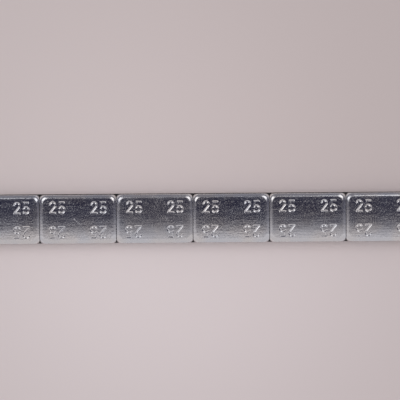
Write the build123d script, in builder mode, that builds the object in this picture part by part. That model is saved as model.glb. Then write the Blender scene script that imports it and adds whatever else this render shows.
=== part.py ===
"""Adhesive wheel balance weight: a row of pressed steel segments on one strip of foam tape.

The strip lies on its adhesive side. X runs along the strip, Y across it, and Z points out of the
crowned faces. The origin is at the centre of the release liner's back, on the mounting plane.
All sizes are in millimetres.
"""

import os

from build123d import *

# Steel segments. The height is measured from the back to the top of the crown.
segment_count = 6
segment_length = 29.9
segment_width = 19.0
segment_height = 5.8
segment_gap = 0.1
crown_rise = 0.45

# Rounding of a pressed segment. The blank is rounded oversize and then trimmed all round, so that
# the rounded edge of the face ends at a clear line on the side. The crown's rise is measured over
# the blank's width. A plan corner of the blank is rounder than the edge of the face, so that the
# edge runs round it without pinching, and the trimmed corner is tighter again.
face_edge_radius = 2.8
trim_margin = 1.25
corner_allowance = 1.8
corner_trim = 3.1

# Foam tape and its release liner. The tape stands a little proud of the long edges of the steel.
tape_thickness = 1.0
tape_overhang = 0.2
liner_thickness = 0.12

# Sizes that follow from those above.
segment_pitch = segment_length + segment_gap
blank_length = segment_length + 2 * trim_margin
blank_width = segment_width + 2 * trim_margin
blank_corner_radius = face_edge_radius + corner_allowance
corner_radius = blank_corner_radius - corner_trim
shoulder_height = segment_height - crown_rise
strip_length = segment_count * segment_pitch
tape_width = segment_width + 2 * tape_overhang

# The layers are stacked from the mounting plane: liner, tape, steel.
liner_plane = Plane.XY
tape_plane = liner_plane.offset(liner_thickness)
steel_plane = tape_plane.offset(tape_thickness)

os.makedirs("parts", exist_ok=True)

# Release liner: a thin film, cut together with the tape.
with BuildPart() as liner:
    with BuildSketch(liner_plane):
        Rectangle(strip_length, tape_width)
    extrude(amount=liner_thickness)

liner.part.label = "release_liner"
export_step(liner.part, "parts/release_liner.step")

# Foam tape: one strip behind all the segments, cut off midway between two of them.
with BuildPart() as tape:
    with BuildSketch(tape_plane):
        Rectangle(strip_length, tape_width)
    extrude(amount=tape_thickness)

tape.part.label = "foam_tape"
export_step(tape.part, "parts/foam_tape.step")

# Steel segments, one pitch apart and centred on the strip.
first_center = (segment_pitch - strip_length) / 2
steel_back = steel_plane.origin.Z

for index in range(segment_count):
    center = first_center + index * segment_pitch
    plan_plane = Plane(origin=(center, 0, steel_back))
    end_plane = Plane(origin=(center - blank_length / 2, 0, steel_back), x_dir=(0, 1, 0), z_dir=(1, 0, 0))

    with BuildPart() as segment:
        # The section of the blank across the strip: flat back, straight sides and a shallow crown.
        with BuildSketch(end_plane):
            with BuildLine():
                left_side = Line((-blank_width / 2, 0), (-blank_width / 2, shoulder_height))
                crown = SagittaArc(left_side @ 1, (blank_width / 2, shoulder_height), crown_rise)
                right_side = Line(crown @ 1, (blank_width / 2, 0))
                Line(right_side @ 1, left_side @ 0)
            make_face()
        extrude(amount=blank_length)

        # The rounded outline of the blank, seen from the front, and the rounding of its face.
        with BuildSketch(plan_plane):
            RectangleRounded(blank_length, blank_width, blank_corner_radius)
        extrude(amount=segment_height, mode=Mode.INTERSECT)
        fillet(segment.faces().sort_by(Axis.Z)[-1].edges(), face_edge_radius)

        # The trimmed outline of the segment. Its sides are sheared square to the flat back.
        with BuildSketch(plan_plane):
            RectangleRounded(segment_length, segment_width, corner_radius)
        extrude(amount=segment_height, mode=Mode.INTERSECT)

    segment.part.label = f"weight_segment_{index + 1}"
    export_step(segment.part, f"parts/weight_segment_{index + 1}.step")
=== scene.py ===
# %% [markdown]
# # An adhesive wheel balance weight
#
# The object is a strip of small steel blocks on one length of black foam tape. A fitter cuts off as
# many blocks as a wheel needs, peels the liner from the tape and presses the strip into the rim.
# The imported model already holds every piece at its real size, so this file gives the pieces their
# looks: stamped figures and plated steel on the segments, foam on the tape, paper on the liner. A
# floor, light and a camera follow at the end.

import bpy
import numpy as np
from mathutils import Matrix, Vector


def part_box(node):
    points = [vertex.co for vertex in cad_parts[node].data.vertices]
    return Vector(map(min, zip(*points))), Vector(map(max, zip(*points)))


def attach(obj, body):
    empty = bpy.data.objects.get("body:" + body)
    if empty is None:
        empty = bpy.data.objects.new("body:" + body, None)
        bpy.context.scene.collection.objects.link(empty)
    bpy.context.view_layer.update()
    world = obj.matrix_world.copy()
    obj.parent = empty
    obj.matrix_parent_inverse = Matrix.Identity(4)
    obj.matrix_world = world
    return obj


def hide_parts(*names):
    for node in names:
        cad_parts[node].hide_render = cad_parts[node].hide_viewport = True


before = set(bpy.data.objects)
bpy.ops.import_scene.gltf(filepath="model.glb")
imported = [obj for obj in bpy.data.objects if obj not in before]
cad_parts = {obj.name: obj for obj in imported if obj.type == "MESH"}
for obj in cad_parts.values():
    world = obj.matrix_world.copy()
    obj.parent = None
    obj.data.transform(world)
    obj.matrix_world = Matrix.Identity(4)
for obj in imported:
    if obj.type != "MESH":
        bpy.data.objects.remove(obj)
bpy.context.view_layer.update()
segment_names = sorted(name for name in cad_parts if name.startswith("weight_segment_"))
print("segments:", segment_names)

# %% [markdown]
# ## Sizes of one segment
#
# A segment's length, width and place are read from the frame, so the visible steel always sits where
# the solid is. A few sizes can't be read from a box and are named here, in metres. The face is a
# shallow arc across the strip. Its rounded edge was formed on a larger blank and trimmed, so it ends at
# a clear line on the side, which is worn to a tiny bevel.

# %% Read and name the sizes
MM = 0.001
steel_height = 5.8 * MM
crown_radius = 128.6 * MM
face_edge_radius = 2.8 * MM
trim_margin = 1.25 * MM
blank_corner_radius = 4.6 * MM
corner_radius = 1.5 * MM
side_bevel = 0.06 * MM

low, high = (np.array(corner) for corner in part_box(segment_names[0]))
half_length = (high[0] - low[0]) / 2
half_width = (high[1] - low[1]) / 2
back_height = low[2]
edge_reach = face_edge_radius - trim_margin
print(f"half length {half_length / MM:.2f} mm, half width {half_width / MM:.2f} mm")
print(f"the rounded edge starts {edge_reach / MM:.2f} mm inside the outline")

# %% [markdown]
# ## A grid that is fine only where it has to be
#
# The face of a segment is one surface over a grid of x and y lines. Stamped figures need lines about
# a tenth of a millimetre apart, and the rounded edge needs lines that crowd together as it gets
# steeper. The rest of the face is nearly flat. An even grid would spend most of its points there, so
# the lines are spaced zone by zone instead.

# %% Sizes of the figures and steps of the grid
figure_height = 4.15 * MM
figure_stroke = 0.7 * MM
figure_advance = 3.5 * MM
block_offset_x = 8.1 * MM
block_offset_y = 4.8 * MM
row_shift = -0.2 * MM
zone_margin = 0.4 * MM
fine_step = 0.085 * MM
coarse_step = 0.4 * MM
shoulder_step = 0.2 * MM
edge_steps = 10

block_half_length = figure_advance + zone_margin
block_half_height = figure_height / 2 + figure_stroke / 2 + zone_margin
print(f"a fine zone is {2 * block_half_length / MM:.2f} by {2 * block_half_height / MM:.2f} mm")


# %% Grid lines along one side of a segment
def zones_about(shift, offset, half_size):
    """The two stretches, one each side of a shifted middle, that hold the figures."""
    return [(shift + side * offset - half_size, shift + side * offset + half_size) for side in (-1, 1)]


def grid_lines(half_size, zones):
    """Places of the lines from one side bevel to the other.

    Over the rounded edge the depth from the outline is reach - r * sin(angle) for even angles, with one
    more line where the corners start. Inside, each stretch is divided evenly: finely in a zone, less
    finely on the shoulders outside the zones and coarsely between them.
    """
    steepest = np.arcsin((edge_reach - side_bevel) / face_edge_radius)
    angles = np.linspace(steepest, 0, edge_steps + 1)
    depths = np.union1d(edge_reach - face_edge_radius * np.sin(angles), corner_radius)
    edge, inner_end = depths[:-1] - half_size, half_size - depths[-1]
    stops = [-inner_end, *np.ravel(zones), inner_end]
    steps = [shoulder_step, fine_step, coarse_step, fine_step, shoulder_step]
    stretches = []
    for start, end, step in zip(stops[:-1], stops[1:], steps):
        count = max(1, round((end - start) / step))
        stretches.append(np.linspace(start, end, count, endpoint=False))
    return np.concatenate([edge, *stretches, [inner_end], -edge[::-1]])


lines_x = grid_lines(half_length, zones_about(0, block_offset_x, block_half_length))
lines_y = grid_lines(half_width, zones_about(row_shift, block_offset_y, block_half_height))
print(f"a face has {len(lines_x)} by {len(lines_y)} grid points")

# %% [markdown]
# ## The pressed block
#
# The press leaves a block with a slightly crowned face, a rounded edge and rounded corners. It could
# be a cube with bevels, but then the figures would have to be cut with booleans, which leave ragged
# faces. As a function of x and y the face keeps clean quads: the corners of the grid are pulled on to
# the rounded outline, the crown is an arc, and the edge falls away with the depth from the outline.


# %% The block as a function of x and y
def rounded_plan(x, y):
    """Pulls the square corners of the grid on to the rounded outline.

    In a corner square of side S, a and b run from 0 at its inner sides to 1 at the grid's border. The
    point moves to S * a * sqrt(1 - b*b/2), S * b * sqrt(1 - a*a/2), which turns the square into a
    quarter disc.
    """
    square = corner_radius - side_bevel
    corner_x, corner_y = half_length - corner_radius, half_width - corner_radius
    a = np.clip((np.abs(x) - corner_x) / square, 0, 1)
    b = np.clip((np.abs(y) - corner_y) / square, 0, 1)
    in_corner = (a > 0) & (b > 0)
    moved_x = np.sign(x) * (corner_x + square * a * np.sqrt(1 - b * b / 2))
    moved_y = np.sign(y) * (corner_y + square * b * np.sqrt(1 - a * a / 2))
    return np.where(in_corner, moved_x, x), np.where(in_corner, moved_y, y)


def blank_depth(x, y):
    """Depth inside the outline of the larger blank: its corner radius less the distance from a corner's
    centre in a corner, else the distance to the nearer side."""
    to_end = half_length + trim_margin - np.abs(x)
    to_side = half_width + trim_margin - np.abs(y)
    from_center_x = blank_corner_radius - to_end
    from_center_y = blank_corner_radius - to_side
    in_corner = (from_center_x > 0) & (from_center_y > 0)
    corner_depth = blank_corner_radius - np.hypot(from_center_x, from_center_y)
    return np.where(in_corner, corner_depth, np.minimum(to_end, to_side))


def face_height(x, y):
    """Height of the plain face: an arc of the crown's radius across y, less the rounded edge, which
    falls by r - sqrt(r*r - (r - depth)**2) where the depth in the blank is under r."""
    crown = back_height + steel_height - (crown_radius - np.sqrt(crown_radius**2 - y**2))
    short = np.clip(face_edge_radius - blank_depth(x, y), 0, None)
    return crown - (face_edge_radius - np.sqrt(face_edge_radius**2 - short**2))


plan_x, plan_y = rounded_plan(*np.meshgrid(lines_x, lines_y))
plain_height = face_height(plan_x, plan_y)
print(f"the crown stands {plain_height.max() / MM:.2f} mm above the mounting plane")

# %% [markdown]
# ## Stamped figures
#
# The weight in grams is struck into each end of every block, once upright and once turned half
# round, so that it reads either way up. A figure is a few lines and arcs, and the distance from each
# point of the grid to the nearest of them gives the groove: deepest on the line, with straight sloping
# walls and a low lip where the punch has pushed the steel aside. Text objects would need booleans
# again. No two strikes are alike, so each has its own strength and is a hair off its place.


# %% Distances to strokes
def line_distance(x, y, start, end):
    """Distance to a straight stroke: to the nearest point of start + t * (end - start), t in 0..1."""
    along = np.subtract(end, start)
    t = ((x - start[0]) * along[0] + (y - start[1]) * along[1]) / (along @ along)
    t = np.clip(t, 0, 1)
    return np.hypot(x - start[0] - t * along[0], y - start[1] - t * along[1])


def arc_point(center, radius, angle_deg):
    """The point of a circle at an angle that counts anticlockwise from +x."""
    angle = np.radians(angle_deg)
    return center[0] + radius * np.cos(angle), center[1] + radius * np.sin(angle)


def arc_distance(x, y, center, radius, start_deg, sweep_deg):
    """Distance to an arc that runs anticlockwise from start_deg: to the circle within the sweep, and
    to the nearer end of the arc elsewhere."""
    dx, dy = x - center[0], y - center[1]
    turn = (np.degrees(np.arctan2(dy, dx)) - start_deg) % 360
    ring = np.abs(np.hypot(dx, dy) - radius)
    ends = []
    for angle_deg in (start_deg, start_deg + sweep_deg):
        end_x, end_y = arc_point(center, radius, angle_deg)
        ends.append(np.hypot(x - end_x, y - end_y))
    return np.where(turn <= sweep_deg, ring, np.minimum(*ends))


# %% The two figures
def figure_two(x, y):
    """A two: a hook over the top, a slanting stroke down to the left and a bar along the foot."""
    half = figure_height / 2
    radius = 0.26 * figure_height
    hook_center = (0, half - radius)
    hook_start_deg = -39
    hook_sweep_deg = 205
    foot = (-radius, -half)
    return np.minimum.reduce([
        arc_distance(x, y, hook_center, radius, hook_start_deg, hook_sweep_deg),
        line_distance(x, y, arc_point(hook_center, radius, hook_start_deg), foot),
        line_distance(x, y, foot, (radius, -half)),
    ])


def figure_five(x, y):
    """A five: a bar along the top, a short stem at the left and a bowl below."""
    half = figure_height / 2
    radius = 0.29 * figure_height
    bowl_center = (0, radius - half)
    bowl_start_deg = -140
    bowl_top_deg = 143
    stem_top = (-0.66 * radius, half)
    bar_end = (0.8 * radius, half)
    return np.minimum.reduce([
        line_distance(x, y, stem_top, bar_end),
        line_distance(x, y, stem_top, arc_point(bowl_center, radius, bowl_top_deg)),
        arc_distance(x, y, bowl_center, radius, bowl_start_deg, bowl_top_deg - bowl_start_deg),
    ])


def stamp_distance(x, y):
    """Distance to the nearest stroke of a block of two figures about the origin."""
    first = figure_two(x + figure_advance / 2, y)
    second = figure_five(x - figure_advance / 2, y)
    return np.minimum(first, second)


print(f"the middle of a stamp lies {stamp_distance(0.0, 0.0) / MM:.2f} mm from the nearest stroke")

# %% Depth of the stamped groove
stamp_depth = 0.125 * MM
strike_strengths = (0.85, 1.1)
lower_row_strength = 1.12
stamp_shift = 0.10 * MM
stamp_turn_deg = 0.8
lip_height = 0.006 * MM
lip_place = 0.6 * figure_stroke
lip_spread = 0.14 * figure_stroke
rng = np.random.default_rng(25)


def stamped_groove(x, y):
    """Depth of all the figures on one face, and how deep each point is as a share of the full depth.

    A groove falls straight from half a stroke beside its line to the full depth on it. The lip is a
    bell curve just outside, exp(-((distance - place) / spread)**2). Each block of figures is struck a
    little off its place, with a small turn and its own strength, and harder in the lower row.
    """
    depth = np.zeros_like(x)
    share = np.zeros_like(x)
    for row in (1, -1):
        for column in (-1, 1):
            shift_x, shift_y = rng.uniform(-stamp_shift, stamp_shift, 2)
            turn = np.radians(rng.uniform(-stamp_turn_deg, stamp_turn_deg))
            strength = rng.uniform(*strike_strengths)
            if row < 0:
                strength *= lower_row_strength
            local_x = row * (x - column * block_offset_x - shift_x)
            local_y = row * (y - row_shift - row * block_offset_y - shift_y)
            turned_x = np.cos(turn) * local_x + np.sin(turn) * local_y
            turned_y = np.cos(turn) * local_y - np.sin(turn) * local_x
            distance = stamp_distance(turned_x, turned_y)
            sunk = np.clip(1 - distance / (0.5 * figure_stroke), 0, 1)
            lip = np.exp(-(((distance - lip_place) / lip_spread) ** 2))
            depth += strength * (stamp_depth * sunk - lip_height * lip)
            share = np.maximum(share, sunk)
    return depth, share


deepest = stamp_depth * strike_strengths[1] * lower_row_strength
print(f"a groove is {figure_stroke / MM:.2f} mm wide and up to {deepest / MM:.2f} mm deep")

# %% [markdown]
# ## From arrays to a closed mesh
#
# The face is the grid itself. Its outer line of points is carried straight down as the side wall,
# steps in by the same tiny bevel and closes with a flat back, so each segment is one watertight skin.
# Only the face and the walls are smooth: the lower bevel and the back stay flat, as cut steel does.
# The mesh also stores two values for the finish: how deep a point is stamped, which sets the painted
# shade in the grooves, and how near it is to the edge, where handling wears the plate. They could be
# painted by hand, but the arrays have them.

# %% Rings of points below the face
bevel_drop = 1.7 * side_bevel
hold_drop = 3 * side_bevel


def border_ring(columns, rows):
    """Indices of the grid's outer points, anticlockwise from the lower left corner."""
    index = np.arange(columns * rows).reshape(rows, columns)
    return np.concatenate([index[0], index[1:, -1], index[-1, -2::-1], index[-2:0:-1, 0]])


def outline_normals(x, y):
    """Outward directions along the outline: from a corner's centre on its arc, else square to the side."""
    out_x = np.sign(x) * np.clip(np.abs(x) - half_length + corner_radius, 0, None)
    out_y = np.sign(y) * np.clip(np.abs(y) - half_width + corner_radius, 0, None)
    outward = np.stack([out_x, out_y, np.zeros_like(x)], axis=-1)
    return outward / np.linalg.norm(outward, axis=-1, keepdims=True)


def at_height(points, height):
    """The same outline at another height."""
    return np.column_stack([points[:, :2], np.broadcast_to(height, len(points))])


def side_rings(border, outward):
    """Rings of points below the face: bevel, a close line that keeps the wall flat, foot and back edge."""
    outline = border + side_bevel * outward
    bevel = at_height(outline, border[:, 2] - bevel_drop)
    hold = at_height(outline, bevel[:, 2] - hold_drop)
    foot = at_height(outline, back_height + side_bevel)
    return [bevel, hold, foot, at_height(border, back_height)]


outer_ring = border_ring(len(lines_x), len(lines_y))
print(f"a ring has {len(outer_ring)} points")


# %% The flat back
def back_faces(edge, columns, rows):
    """Quads from the lower side of the back edge to the upper side, and one larger face at each end."""
    lower = edge[:columns]
    right = edge[columns - 1:columns + rows - 1]
    upper = edge[columns + rows - 2:2 * columns + rows - 2][::-1]
    left = np.concatenate([edge[2 * columns + rows - 3:], edge[:1]])[::-1]
    quads = np.stack([lower[1:-2], upper[1:-2], upper[2:-1], lower[2:-1]], axis=-1)
    return quads.tolist() + [[*left, upper[1], lower[1]], [lower[-2], upper[-2], *right[::-1]]]


print(f"a back has {len(back_faces(outer_ring, len(lines_x), len(lines_y)))} faces")

# %% One segment
wear_reach = 2.6 * MM


def add_share(mesh, name, share):
    """Stores a value from 0 to 1 at each point of the face, and 0 on the sides and back."""
    attribute = mesh.attributes.new(name, "FLOAT", "POINT")
    attribute.data.foreach_set("value", np.pad(share.ravel(), (0, len(mesh.vertices) - share.size)))


def segment_mesh(name, center_x, slope):
    """One stamped block as a mesh: face grid, side rings and back. The face slopes a little across y."""
    groove, share = stamped_groove(plan_x, plan_y)
    rows, columns = plan_x.shape
    height = np.minimum(plain_height + slope * plan_y - groove, back_height + steel_height)
    face = np.stack([plan_x, plan_y, height], axis=-1).reshape(-1, 3)
    index = np.arange(rows * columns).reshape(rows, columns)
    face_quads = np.stack([index[:-1, :-1], index[:-1, 1:], index[1:, 1:], index[1:, :-1]], axis=-1)

    rings = side_rings(face[outer_ring], outline_normals(*face[outer_ring, :2].T))
    points = np.concatenate([face, *rings]) + (center_x, 0, 0)
    around = np.arange(len(outer_ring))
    loops = [outer_ring] + [len(face) + number * len(around) + around for number in range(len(rings))]
    bands = []
    for above, below in zip(loops[:-1], loops[1:]):
        bands.append(np.stack([below, np.roll(below, -1), np.roll(above, -1), above], axis=-1))

    smooth_faces = np.concatenate([face_quads.reshape(-1, 4), *bands[:-1]]).tolist()
    flat_faces = bands[-1].tolist() + back_faces(loops[-1], columns, rows)
    mesh = bpy.data.meshes.new(name)
    mesh.from_pydata(points, [], smooth_faces + flat_faces)
    mesh.polygons.foreach_set("use_smooth", np.arange(len(mesh.polygons)) < len(smooth_faces))
    add_share(mesh, "stamped", share)
    add_share(mesh, "edge", np.clip(1 - (blank_depth(plan_x, plan_y) - trim_margin) / wear_reach, 0, 1))
    return mesh


# %% The row of segments
face_slopes = [0.0, -0.001, -0.004, -0.003, -0.001, -0.003]
segments = []
for node_name, slope in zip(segment_names, face_slopes):
    low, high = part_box(node_name)
    piece_name = node_name.replace("weight_segment", "stamped_segment")
    piece = bpy.data.objects.new(piece_name, segment_mesh(piece_name, (low[0] + high[0]) / 2, slope))
    bpy.context.collection.objects.link(piece)
    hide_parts(node_name)
    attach(piece, "root")
    segments.append(piece)
    triangles = sum(len(face.vertices) - 2 for face in piece.data.polygons)
    print(f"{piece_name}: {triangles} triangles")

# %% [markdown]
# ## Shader maths as Python expressions
#
# A finish is a graph of nodes. Written out link by link it is hard to read, so a small class wraps
# an output socket: adding or multiplying two of them adds the Math node that does it. Every other
# node comes from one method of the graph, which sets the node's settings first and its sockets next.


# %% A socket that does arithmetic
class Wire:
    """An output socket whose arithmetic adds Math nodes to its graph."""

    def __init__(self, graph, socket):
        self.graph = graph
        self.socket = socket

    def math(self, operation, first, second):
        return self.graph.node("ShaderNodeMath", {"operation": operation}, {0: first, 1: second})

    def __add__(self, other):
        return self.math("ADD", self, other)

    def __mul__(self, other):
        return self.math("MULTIPLY", self, other)

    def __sub__(self, other):
        return self.math("SUBTRACT", self, other)

    def __rsub__(self, other):
        return self.math("SUBTRACT", other, self)

    __radd__ = __add__
    __rmul__ = __mul__

    def greater(self, other):
        return self.math("MAXIMUM", self, other)


# %% A graph that adds nodes
class Graph:
    """A node tree with one method that adds a node, its settings and its inputs."""

    def __init__(self, tree):
        self.tree = tree
        tree.nodes.clear()

    def node(self, kind, settings=None, inputs=None, output=0):
        made = self.tree.nodes.new(kind)
        for key, value in (settings or {}).items():
            setattr(made, key, value)
        for key, value in (inputs or {}).items():
            if isinstance(value, Wire):
                self.tree.links.new(value.socket, made.inputs[key])
            else:
                made.inputs[key].default_value = value
        return Wire(self, made.outputs[output]) if len(made.outputs) else made

    def vector(self, operation, first, second, output=0):
        """Vector Math on two directions or places."""
        return self.node("ShaderNodeVectorMath", {"operation": operation}, {0: first, 1: second}, output)

    def along(self, direction, axis):
        """How far a direction or a place reaches along an axis."""
        return self.vector("DOT_PRODUCT", direction, axis, output=1)

    def mix(self, factor, first, second):
        """A colour between two colours."""
        settings = {"data_type": "RGBA"}
        return self.node("ShaderNodeMix", settings, {0: factor, 6: first, 7: second}, output=2)

    def noise(self, place, scale, detail=2.0, roughness=0.5):
        """Fractal noise about 0.5, with scale in features per metre."""
        inputs = {"Vector": place, "Scale": scale, "Detail": detail, "Roughness": roughness}
        return self.node("ShaderNodeTexNoise", {}, inputs)

    def stretch(self, place, scale, shift=(0.0, 0.0, 0.0)):
        """Scales and shifts a place, so that a pattern runs along one axis."""
        return self.node("ShaderNodeMapping", {}, {"Vector": place, "Scale": scale, "Location": shift})

    def between(self, value, low_edge, high_edge, low_value=0.0, high_value=1.0):
        """Carries a value from one range to another along a smooth step."""
        inputs = {"Value": value, "From Min": low_edge, "From Max": high_edge}
        inputs.update({"To Min": low_value, "To Max": high_value})
        return self.node("ShaderNodeMapRange", {"interpolation_type": "SMOOTHSTEP"}, inputs)

    def bump(self, height, depth, strength):
        """A normal tilted by a height from 0 to 1, which stands for this depth in metres."""
        inputs = {"Height": height, "Distance": depth, "Strength": strength}
        return self.node("ShaderNodeBump", {}, inputs)

    def object_place(self):
        """Object coordinates, which are metres in the part's own frame."""
        return self.node("ShaderNodeTexCoord", output="Object")

    def share(self, name):
        """A value from 0 to 1 that the mesh stores at its points."""
        return self.node("ShaderNodeAttribute", {"attribute_name": name}, {}, output=2)


# %% Start and end a finish
def new_finish(name):
    """A material, its graph and nothing in it yet."""
    material = bpy.data.materials.new(name)
    material.use_nodes = True
    return material, Graph(material.node_tree)


def close_finish(graph, inputs):
    """Ends a graph with the one shader that makes the surface, and says how large the graph is."""
    shader = graph.node("ShaderNodeBsdfPrincipled", {}, inputs)
    graph.node("ShaderNodeOutputMaterial", {}, {"Surface": shader})
    print("a finish of", len(graph.tree.nodes), "nodes")


# %% [markdown]
# ## Zinc plate
#
# The blocks are rolled, pressed and then plated. Rolling leaves faint lines along the strip, plating
# adds a fine satin grain and a cloudy blue and straw tint, and handling leaves pits and scratches.
# A brushed-metal picture could be wrapped round each block, but noise in the part's own coordinates
# needs no picture and no unwrapping, and a shift for each block keeps the clouds from running on.
# Pits and scratches mostly change the roughness: they shine pale where the plate is dark. Blocks from
# one batch still differ, so each gets its own dullness, pitting and coarseness of grain.

# %% Handling scratches
# The places and lengths of scratches are in millimetres. Only their width is in metres.
scratch_count = 6
scratch_margin = 1.5
scratch_half_lengths = (0.3, 1.3)
scratch_strengths = (0.05, 0.18)
scratch_width = 0.13 * MM
scratch_core = 0.3 * scratch_width
deep_scratches = {2: [((-46.8, 0.3), (-44.0, -2.05), 0.5), ((-46.5, 0.6), (-46.0, -0.2), 0.25)]}


def random_scratches(piece):
    """Ends of short scratches at any place and angle on a block's face, in millimetres, and how plain
    each of them is."""
    low, high = (np.array(corner)[:2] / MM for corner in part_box(piece))
    middles = rng.uniform(low + scratch_margin, high - scratch_margin, (scratch_count, 2))
    angles = rng.uniform(0, np.pi, scratch_count)
    halves = rng.uniform(*scratch_half_lengths, scratch_count)[:, None]
    halves = halves * np.stack([np.cos(angles), np.sin(angles)], axis=-1)
    strengths = rng.uniform(*scratch_strengths, scratch_count)
    return list(zip(middles - halves, middles + halves, strengths))


def scratch_mask(graph, place, start, end, strength):
    """A straight scratch: its strength near the closest point of start + t * (end - start), t in 0..1."""
    start, end = (np.array([*point, 0.0]) * MM for point in (start, end))
    offset = graph.vector("SUBTRACT", graph.vector("MULTIPLY", place, (1.0, 1.0, 0.0)), start)
    t = graph.along(offset, (end - start) / np.sum((end - start) ** 2))
    t = graph.node("ShaderNodeClamp", {}, {"Value": t})
    nearest = graph.node("ShaderNodeVectorMath", {"operation": "SCALE"}, {0: end - start, "Scale": t})
    distance = graph.vector("DISTANCE", offset, nearest, output=1)
    return graph.between(distance, scratch_width, scratch_core, 0.0, strength)


# %% The plated steel
cloud_scale = 90.0
grain_scale = 1300.0
pit_scale = 2300.0
pit_shift = (3.0, 0.0, 0.0)
rolling_scale = (170.0, 1500.0, 1500.0)
plate_roughness = 0.11
rolling_roughness = 0.06
edge_roughness = 0.08
rolling_relief = 1.4
grain_relief = 1.2
relief_depth = 0.010 * MM
cool_zinc = (0.61, 0.615, 0.65, 1.0)
warm_zinc = (0.66, 0.635, 0.63, 1.0)
groove_painted_shade = (0.36, 0.35, 0.37, 1.0)


def zinc_plate(name, shift, dullness, pitting, coarseness, scratches):
    """Satin zinc: tinted clouds, rolling lines, grain, pits, scratches, and painted shade in the stamped
    grooves.

    Dullness is roughness that is added all over, pitting is how much rougher a pit is than the plate,
    and coarseness is how tall the grain stands beside the rolling lines.
    """
    material, graph = new_finish(name)
    place = graph.stretch(graph.object_place(), (1.0, 1.0, 1.0), shift)
    clouds = graph.noise(place, cloud_scale, 3.0)
    grain = graph.noise(place, grain_scale, 1.0)
    pits = graph.noise(graph.stretch(place, (1.0, 1.0, 1.0), pit_shift), pit_scale, 1.0)
    pits = graph.between(pits, 0.45, 0.75)
    lines = graph.noise(graph.stretch(place, rolling_scale), 1.0, 3.0, 0.6)
    marks = scratch_mask(graph, graph.object_place(), *scratches[0])
    for scratch in scratches[1:]:
        marks = marks.greater(scratch_mask(graph, graph.object_place(), *scratch))

    tint = graph.mix(graph.between(clouds, 0.35, 0.65), cool_zinc, warm_zinc)
    # Painted shade: the stamped grooves are darkened towards a grey, half way at their bottom.
    tint = graph.mix(graph.between(graph.share("stamped"), 0.5, 1.0, 0.0, 0.5), tint, groove_painted_shade)

    edge = graph.share("edge")
    worn = (pitting * pits * (1 - edge)).greater(marks)
    roughness = plate_roughness + dullness + rolling_roughness * graph.between(lines, 0.3, 0.7)
    roughness = roughness + edge_roughness * edge + worn
    normal = graph.bump(rolling_relief * lines + grain_relief * coarseness * grain, relief_depth, 0.8)
    close_finish(graph, {"Base Color": tint, "Metallic": 1.0, "Roughness": roughness, "Normal": normal})
    return material


# %% Plate the segments
cloud_shift = 0.37
dullness = [0.0, 0.005, 0.035, 0.005, 0.01, 0.01]
pitting = [0.14, 0.14, 0.125, 0.17, 0.14, 0.16]
coarseness = [1.5, 1.5, 0.2, 1.5, 0.5, 0.8]
wear = list(zip(dullness, pitting, coarseness))
for number, piece in enumerate(segments):
    scratches = deep_scratches.get(number + 1, []) + random_scratches(segment_names[number])
    shift = (number * cloud_shift, 0.0, 0.0)
    piece.data.materials.append(zinc_plate(f"zinc_plate_{number + 1}", shift, *wear[number], scratches))
print("plated", len(segments), "segments, each with at least", scratch_count, "scratches")

# %% [markdown]
# ## Foam tape and liner
#
# The tape is closed-cell foam, slit to width, so its edges show fine cells. The liner is smooth paper
# with a faint fibre. Both could be modelled again here, but the solids already have the right shape,
# so they keep it and only get a finish.


# %% Foam and paper
def black_foam():
    """Dull black foam with fine cells."""
    material, graph = new_finish("black_foam")
    deep_black = (0.012, 0.012, 0.013, 1.0)
    rubbed_black = (0.035, 0.035, 0.037, 1.0)
    place = graph.object_place()
    cells = graph.node("ShaderNodeTexVoronoi", {}, {"Vector": place, "Scale": 4500.0})
    uneven = graph.noise(place, 700.0)
    color = graph.mix(uneven, deep_black, rubbed_black)
    normal = graph.bump(cells, 0.08 * MM, 0.8)
    close_finish(graph, {"Base Color": color, "Roughness": 0.85 + 0.1 * uneven, "Normal": normal})
    return material


def liner_paper():
    """Smooth coated paper, off white with a faint fibre."""
    material, graph = new_finish("liner_paper")
    cream = (0.74, 0.72, 0.66, 1.0)
    off_white = (0.86, 0.84, 0.79, 1.0)
    fibre = graph.noise(graph.stretch(graph.object_place(), (400.0, 1400.0, 1400.0)), 1.0, 4.0, 0.6)
    color = graph.mix(fibre, cream, off_white)
    normal = graph.bump(fibre, 0.01 * MM, 0.5)
    close_finish(graph, {"Base Color": color, "Roughness": 0.3 + 0.2 * fibre, "Normal": normal})
    return material


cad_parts["foam_tape"].material_slots[0].material = black_foam()
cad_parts["release_liner"].material_slots[0].material = liner_paper()
print("tape and liner finished")

# %% [markdown]
# ## Floor
#
# The strip lies on a large sheet of pale card. One flat quad is enough for it. The card's warm colour
# carries painted shade: it darkens a little towards the far side, the right and the distance, where the
# light falls off. A lamp could do that as well, but shade painted into the card leaves the light on the
# steel alone.

# %% The floor
floor_half = 1.5
floor_corners = floor_half * np.array([(-1, -1, 0), (1, -1, 0), (1, 1, 0), (-1, 1, 0)])
floor_mesh = bpy.data.meshes.new("floor")
floor_mesh.from_pydata(floor_corners, [], [(0, 1, 2, 3)])
floor = bpy.data.objects.new("floor", floor_mesh)
bpy.context.collection.objects.link(floor)
print(f"a floor of {2 * floor_half:.1f} by {2 * floor_half:.1f} m")

# %% The card
# Painted shade: the card's colour grows darker from near to far, from left to right and with distance.
near_left = (0.695, 0.62, 0.63, 1.0)
far_left = (0.625, 0.547, 0.547, 1.0)
near_right = (0.62, 0.545, 0.553, 1.0)
far_right = (0.518, 0.444, 0.44, 1.0)
distant = (0.46, 0.40, 0.40, 1.0)


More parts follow.
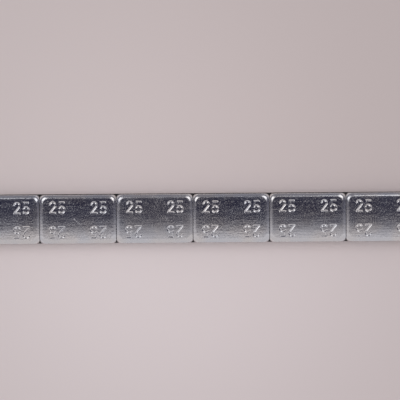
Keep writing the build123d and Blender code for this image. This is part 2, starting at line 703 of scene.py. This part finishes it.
def pale_card():
    """Matt pale card, warm, with painted shade towards the far side, the right and the distance."""
    material, graph = new_finish("pale_card")
    place = graph.object_place()
    near = graph.between(graph.along(place, (0.0, -1.0, 0.0)), -0.03, 0.03)
    right = graph.between(graph.along(place, (1.0, 0.0, 0.0)), -0.10, 0.12)
    away = graph.between(graph.vector("LENGTH", place, (0.0, 0.0, 0.0), output=1), 0.02, 0.13)
    left_tone = graph.mix(near, far_left, near_left)
    right_tone = graph.mix(near, far_right, near_right)
    color = graph.mix(0.5 * away, graph.mix(right, left_tone, right_tone), distant)
    uneven = graph.noise(place, 25.0)
    close_finish(graph, {"Base Color": color, "Roughness": 0.65 + 0.1 * uneven})
    return material


floor_mesh.materials.append(pale_card())

# %% [markdown]
# ## Surroundings
#
# Plated steel has little colour of its own and shows what stands round it, so the surroundings are a
# part of its look. In front of the strip, a broad pale wall of light makes the lower half of each face
# pale, and the dim space straight above makes the upper half dark. These could be panels in the scene,
# but as a world of directions they cast no shadow and stay out of every view. The card mirrors nothing,
# so an even soft sky lights it. Light that reaches the card by way of the steel is the same sky's, and
# twice as strong, because the floor beside the strip would go too dark without it.

# %% What the steel mirrors
zenith = (0.020, 0.020, 0.046, 1.0)
dim_sides = (0.078, 0.078, 0.115, 1.0)
dim_back = (0.23, 0.225, 0.26, 1.0)
pale_top = (0.80, 0.772, 0.783, 1.0)
pale_wall = (0.69, 0.666, 0.676, 1.0)
horizon = (0.85, 0.83, 0.84, 1.0)

world = bpy.data.worlds.new("studio")
bpy.context.scene.world = world
world.use_nodes = True
sky = Graph(world.node_tree)
direction = sky.node("ShaderNodeTexCoord", output="Generated")
front = sky.along(direction, (0.0, -1.0, 0.0))
left = sky.along(direction, (-1.0, 0.0, 0.0))
up = sky.along(direction, (0.0, 0.0, 1.0))

pale = sky.mix(sky.between(front, 0.22, 0.42), pale_top, pale_wall)
mirrored = sky.mix(sky.between(up, 0.98, 0.78), zenith, dim_sides)
mirrored = sky.mix(sky.between(front, -0.15, -0.80), mirrored, dim_back)
haze = 0.06 * sky.between(front, -0.03, 0.10)
mirrored = sky.mix(haze, mirrored, pale)
reach = front + 0.055 * sky.between(left, 0.15, 0.5) + 0.02 * sky.between(left, -0.15, -0.5)
mirrored = sky.mix(sky.between(reach, 0.10, 0.16), mirrored, pale)
mirrored = sky.mix(sky.between(up, 0.30, 0.12), mirrored, horizon)
print("the mirrored studio has", len(world.node_tree.nodes), "nodes")

# %% What lights the card
soft_back = (0.69, 0.68, 0.69, 1.0)
soft_front = (0.92, 0.91, 0.91, 1.0)
backdrop = (0.60, 0.54, 0.54, 1.0)

soft = sky.mix(sky.between(front, -0.6, 0.6), soft_back, soft_front)
is_camera = sky.node("ShaderNodeLightPath", output="Is Camera Ray")
is_glossy = sky.node("ShaderNodeLightPath", output="Is Glossy Ray")
from_floor = sky.between(sky.node("ShaderNodeLightPath", output="Diffuse Depth"), 0, 1)
glow = sky.mix(is_glossy - from_floor, soft, mirrored)
seen = sky.mix(is_camera, glow, backdrop)
strength = 1.0 + is_glossy * from_floor
surroundings = sky.node("ShaderNodeBackground", {}, {"Color": seen, "Strength": strength})
sky.node("ShaderNodeOutputWorld", {}, {"Surface": surroundings})
print("the whole world has", len(world.node_tree.nodes), "nodes")

# %% [markdown]
# ## Softboxes
#
# Two lamps stand behind the strip, at the left and the right. They give the bright corners, the line
# along the rounded ends and the short shadow in front. Point lamps would be simpler, but the steel
# would show them as dots, and a panel as large as a window shows as the soft patch that it is.

# %% The softboxes
lamp_distance = 3.0


def softbox(name, azimuth_deg, elevation_deg, width, height, power):
    """A flat lamp that looks at the origin. Azimuth counts from +Y towards +X, and the place is the
    distance times (sin azimuth * cos elevation, cos azimuth * cos elevation, sin elevation)."""
    azimuth, elevation = np.radians([azimuth_deg, elevation_deg])
    lamp = bpy.data.lights.new(name, "AREA")
    lamp.shape = "RECTANGLE"
    lamp.size = width
    lamp.size_y = height
    lamp.energy = power
    stand = bpy.data.objects.new(name, lamp)
    stand.location = (
        lamp_distance * np.sin(azimuth) * np.cos(elevation),
        lamp_distance * np.cos(azimuth) * np.cos(elevation),
        lamp_distance * np.sin(elevation),
    )
    stand.rotation_euler = (np.pi / 2 - elevation, 0, np.pi - azimuth)
    bpy.context.collection.objects.link(stand)
    print(f"{name}: {width} by {height} m, {power} W")


softbox("softbox_left", azimuth_deg=-46, elevation_deg=55, width=1.1, height=1.65, power=9.6)
softbox("softbox_right", azimuth_deg=39, elevation_deg=53, width=1.05, height=1.7, power=9.4)

# %% [markdown]
# ## Camera
#
# The photograph looks almost square on to the faces, a little from the side of the upper edge. The
# strip lies flat here, so the camera looks down. A camera close by with a short lens would fan the
# blocks out. A long lens from further off keeps the rows straight, as they are in the photograph.

# %% The camera
frame_pixels = 400
focal_pixels = 1500
camera_data = bpy.data.cameras.new("camera")
camera_data.sensor_width = 36
camera_data.lens = focal_pixels / frame_pixels * camera_data.sensor_width
camera = bpy.data.objects.new("camera", camera_data)
camera.location = (-3.71 * MM, 27.71 * MM, 592.77 * MM)
camera.rotation_euler = np.radians([-2.0, -0.65, -0.425])
bpy.context.collection.objects.link(camera)
bpy.context.scene.camera = camera
bpy.context.scene.view_settings.view_transform = "Standard"
print(f"a lens of {camera_data.lens:.0f} mm, {camera.location.z:.3f} m above the card")
